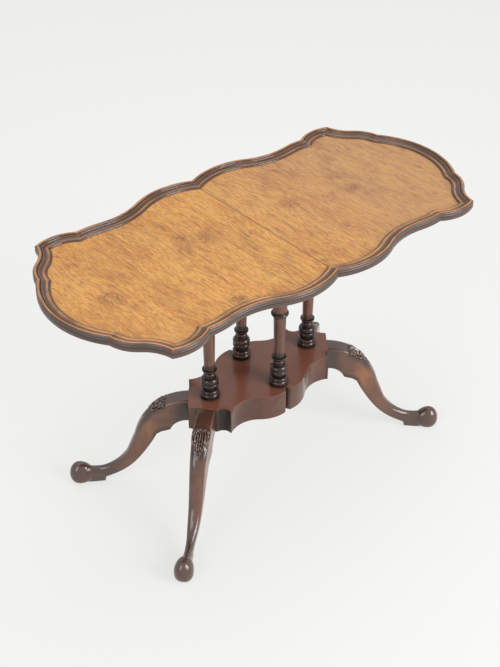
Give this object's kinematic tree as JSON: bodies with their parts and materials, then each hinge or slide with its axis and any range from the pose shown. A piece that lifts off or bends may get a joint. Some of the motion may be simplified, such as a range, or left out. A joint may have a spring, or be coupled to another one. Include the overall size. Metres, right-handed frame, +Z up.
{
  "type": "side table",
  "caption": "Tray top tea table: scalloped top with a moulded rim, turned columns, shaped platform and cabriole legs with ball feet.",
  "frame": {"origin": "on the floor under the middle of the top", "axes": "+X along the length of the top, +Y across it towards the back, +Z up"},
  "size_m": [0.857, 0.42, 0.542],
  "materials": {
    "panel_wood": "figured golden brown veneer, satin polish",
    "rim_wood": "dark walnut moulding with worn arrises, satin polish",
    "base_wood": "red brown mahogany, gloss polish",
    "inner_wood": "unpolished",
    "screw_metal": "dull"
  },
  "bodies": {
    "root": {"bearer_block": "inner_wood", "bearer_screws": "screw_metal", "column_back": "base_wood", "column_front": "base_wood", "column_left": "base_wood", "column_right": "base_wood", "ground_board": "rim_wood", "leg_back_left": "base_wood", "leg_back_right": "base_wood", "leg_dowels": "inner_wood", "leg_front_left": "base_wood", "leg_front_right": "base_wood", "platform": "base_wood", "rim_corner_back_left": "rim_wood", "rim_corner_back_right": "rim_wood", "rim_corner_front_left": "rim_wood", "rim_corner_front_right": "rim_wood", "rim_end_left": "rim_wood", "rim_end_right": "rim_wood", "rim_shoulder_back_left": "rim_wood", "rim_shoulder_back_right": "rim_wood", "rim_shoulder_front_left": "rim_wood", "rim_shoulder_front_right": "rim_wood", "rim_side_back_left": "rim_wood", "rim_side_back_right": "rim_wood", "rim_side_front_left": "rim_wood", "rim_side_front_right": "rim_wood", "veneer_left": "panel_wood", "veneer_right": "panel_wood"}
  },
  "joints": []
}
